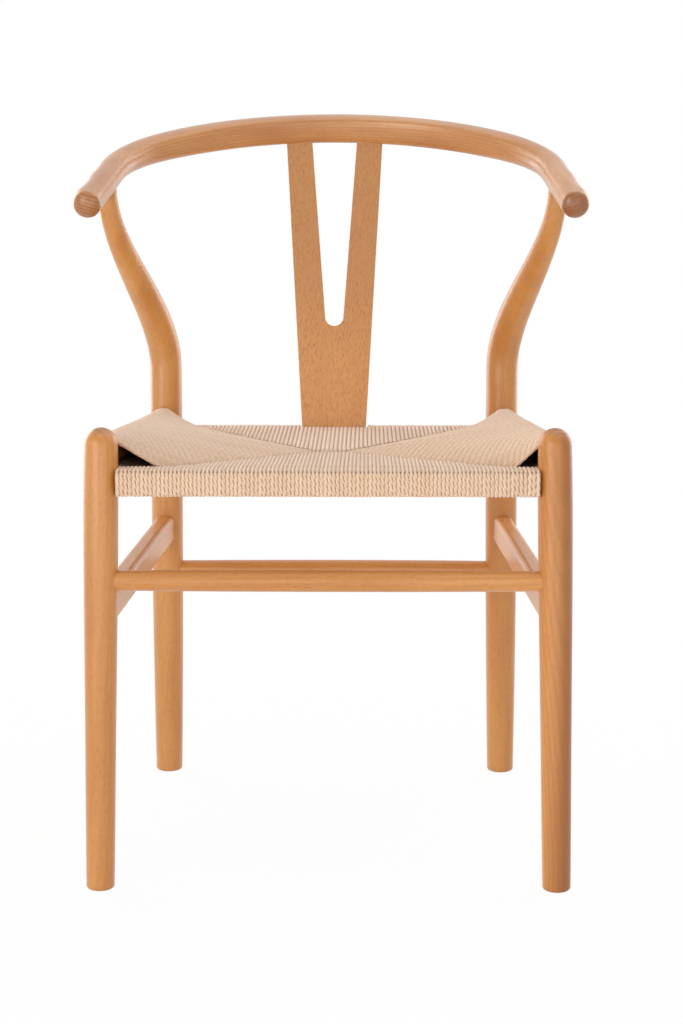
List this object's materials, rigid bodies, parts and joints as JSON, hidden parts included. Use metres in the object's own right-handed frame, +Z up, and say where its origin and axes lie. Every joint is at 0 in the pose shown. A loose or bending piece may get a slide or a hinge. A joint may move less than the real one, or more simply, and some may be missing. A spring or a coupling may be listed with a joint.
{
  "type": "wishbone chair",
  "caption": "Wooden dining chair with a bent bow that forms the arms and the top of the back, a forked splat, turned legs and stretchers, and a seat of woven paper cord.",
  "frame": {"origin": "on the floor, under the middle of the chair's box", "axes": "+Z up, -Y towards the front of the chair, +X to the right as seen from the front"},
  "size_m": [0.5298, 0.4924, 0.7592],
  "materials": {
    "beech": "satin lacquer",
    "paper_cord": "matte twisted cord",
    "tack_steel": "plain"
  },
  "bodies": {
    "root": {"front_seat_rail": "beech", "rear_seat_rail": "beech", "right_seat_rail": "beech", "left_seat_rail": "beech", "front_stretcher": "beech", "rear_stretcher": "beech", "right_stretcher": "beech", "left_stretcher": "beech", "right_front_leg": "beech", "left_front_leg": "beech", "right_rear_leg": "beech", "left_rear_leg": "beech", "arm_bow": "beech", "back_splat": "beech", "front_weave": "paper_cord", "rear_weave": "paper_cord", "right_weave": "paper_cord", "left_weave": "paper_cord", "cord_tacks": "tack_steel"}
  },
  "joints": []
}
